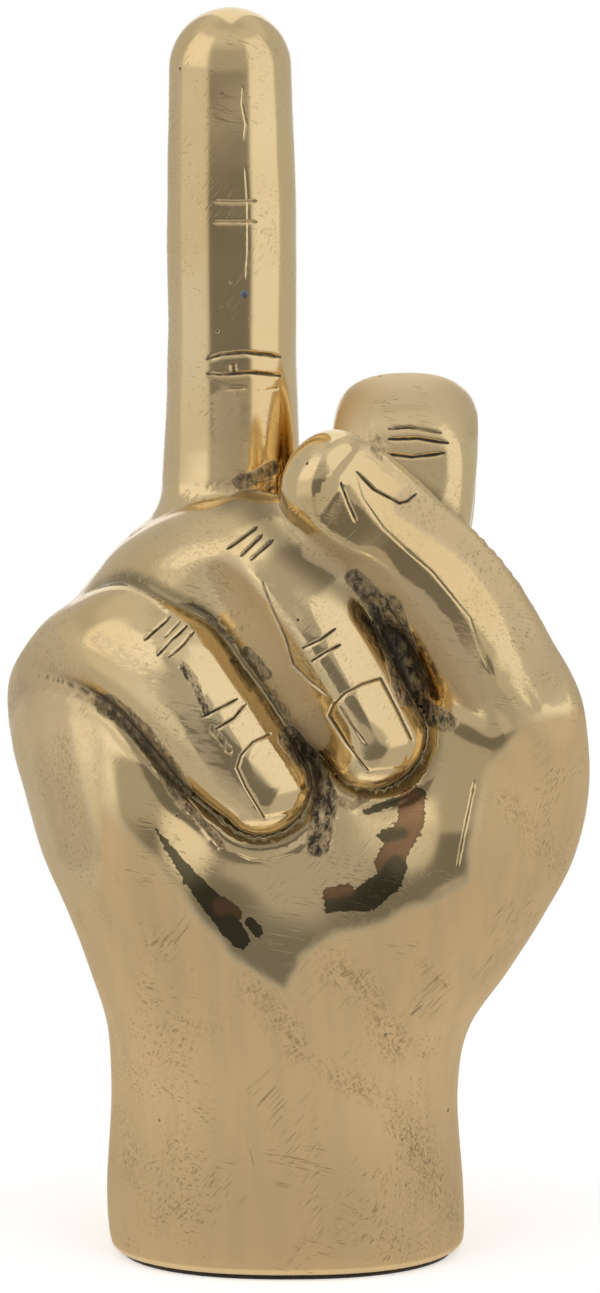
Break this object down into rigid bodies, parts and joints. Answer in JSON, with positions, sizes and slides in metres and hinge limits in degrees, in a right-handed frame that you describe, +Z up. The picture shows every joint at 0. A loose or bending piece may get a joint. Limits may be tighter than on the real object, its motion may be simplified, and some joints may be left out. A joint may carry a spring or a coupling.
{
  "type": "finger sculpture",
  "caption": "Cast brass hand ornament, palm to the front with one finger raised, that stands upright on its cut-off wrist over a felt pad.",
  "frame": {"origin": "centre of the wrist at the felt pad's underside, the face that the sculpture stands on", "axes": "+Z up along the raised finger, +X towards the thumb, -Y out of the palm"},
  "size_m": [0.0989, 0.0583, 0.2154],
  "materials": {
    "polished_brass": "polished by hand, worn, with dark oxide in the seams",
    "plain_brass": "as machined",
    "steel": "brushed",
    "felt": "pressed wool felt"
  },
  "bodies": {
    "root": {"hand_casting": "polished_brass", "raised_finger": "polished_brass", "index_finger": "polished_brass", "ring_finger": "polished_brass", "little_finger": "polished_brass", "thumb": "polished_brass", "finger_rod": "plain_brass", "core_pin": "steel", "base_plate": "plain_brass", "base_screw_1": "steel", "base_screw_2": "steel", "base_screw_3": "steel", "felt_pad": "felt"}
  },
  "joints": []
}
